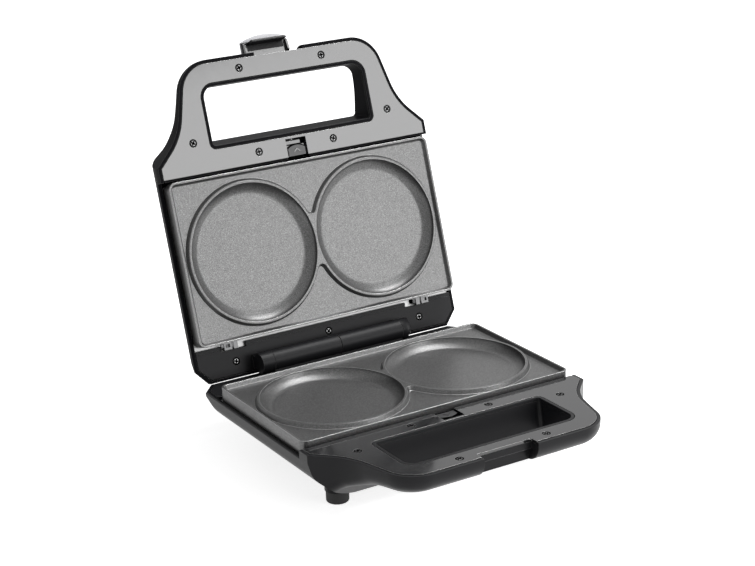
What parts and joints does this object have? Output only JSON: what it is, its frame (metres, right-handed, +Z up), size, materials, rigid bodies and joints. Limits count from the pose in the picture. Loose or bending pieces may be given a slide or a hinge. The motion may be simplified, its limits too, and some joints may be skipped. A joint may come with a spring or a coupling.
{
  "type": "breakfast sandwich maker",
  "caption": "Electric sandwich maker that opens like a clam shell, with twin round pans in each half, loop handles and a front latch.",
  "frame": {"origin": "on the surface it stands on, under the middle of the opened appliance's bounding box", "axes": "+Z up, -Y towards the front where the handles and the latch are, +X to the right of a person in front; the hinge axis runs along X at Y 65.3 mm, Z 54.5 mm"},
  "size_m": [0.232, 0.3302, 0.2803],
  "materials": {
    "housing_plastic": "fine satin texture, black",
    "cover_plastic": "satin, black",
    "trim_gloss": "high gloss, black",
    "catch_plastic": "semi-gloss, black",
    "nonstick": "speckled non-stick coating on cast aluminium",
    "bright_sheet": "bright rolled sheet",
    "spring_steel": "plated spring steel",
    "pin_steel": "turned steel",
    "sheath": "heat-dulled steel sheath",
    "black_screw": "black oxide",
    "zinc_screw": "zinc plated",
    "foot_rubber": "matt",
    "latch_silver": "silver lacquer",
    "latch_black": "satin black",
    "stat_metal": "pressed",
    "terminal_plastic": "off-white",
    "insulation": "heat-proof sleeve",
    "fuse_metal": "plated can",
    "bush_rubber": "matt",
    "red_lens": "clear red",
    "green_lens": "clear green",
    "board": "phenolic board"
  },
  "bodies": {
    "base": {"base_housing": "housing_plastic", "base_trim": "trim_gloss", "base_hinge_cover": "cover_plastic", "base_plate": "nonstick", "base_plate_clips": "spring_steel", "base_catch_spring": "spring_steel", "base_reflector": "bright_sheet", "base_heating_element": "sheath", "base_thermostat": "stat_metal", "base_terminal_block": "terminal_plastic", "base_wiring": "insulation", "hinge_lead": "insulation", "cord_inlet": "bush_rubber", "rubber_feet": "foot_rubber", "foot_screws": "zinc_screw", "base_trim_screws": "black_screw", "base_cover_screws": "black_screw", "base_reflector_screws": "zinc_screw"},
    "lid": {"lid_housing": "housing_plastic", "lid_trim": "trim_gloss", "lid_hinge_cover": "cover_plastic", "hinge_bush": "pin_steel", "hinge_pin": "pin_steel", "lid_plate": "nonstick", "lid_plate_clips": "spring_steel", "lid_catch_spring": "spring_steel", "lid_reflector": "bright_sheet", "lid_heating_element": "sheath", "lid_thermostat": "stat_metal", "thermal_fuse": "fuse_metal", "lid_wiring": "insulation", "power_lens": "red_lens", "ready_lens": "green_lens", "lamp_board": "board", "lid_trim_screws": "black_screw", "lid_cover_screws": "black_screw", "lid_reflector_screws": "zinc_screw", "latch_pin": "pin_steel"},
    "base_catch": {"base_catch": "catch_plastic"},
    "lid_catch": {"lid_catch": "catch_plastic"},
    "latch": {"latch_lever": "latch_black", "latch_cap": "latch_silver"}
  },
  "joints": [
    {"name": "lid_hinge", "type": "hinge", "parent": "base", "child": "lid", "pos_m": [0, 0.06532, 0.0545], "axis": [1, 0, 0], "range_deg": [0, 107.5]},
    {"name": "latch_hinge", "type": "hinge", "parent": "lid", "child": "latch", "pos_m": [0, 0.13993, 0.25955], "axis": [1, 0, 0], "range_deg": [0, 102]},
    {"name": "base_catch_slide", "type": "slide", "parent": "base", "child": "base_catch", "axis": [0, -1, 0], "range_m": [0, 0.003], "stiffness_N_per_m": 300, "springref_m": -0.002, "deforming": ["base_catch_spring"]},
    {"name": "lid_catch_slide", "type": "slide", "parent": "lid", "child": "lid_catch", "axis": [0, 0.3007, 0.9537], "range_m": [0, 0.003], "stiffness_N_per_m": 300, "springref_m": -0.002, "deforming": ["lid_catch_spring"]}
  ]
}
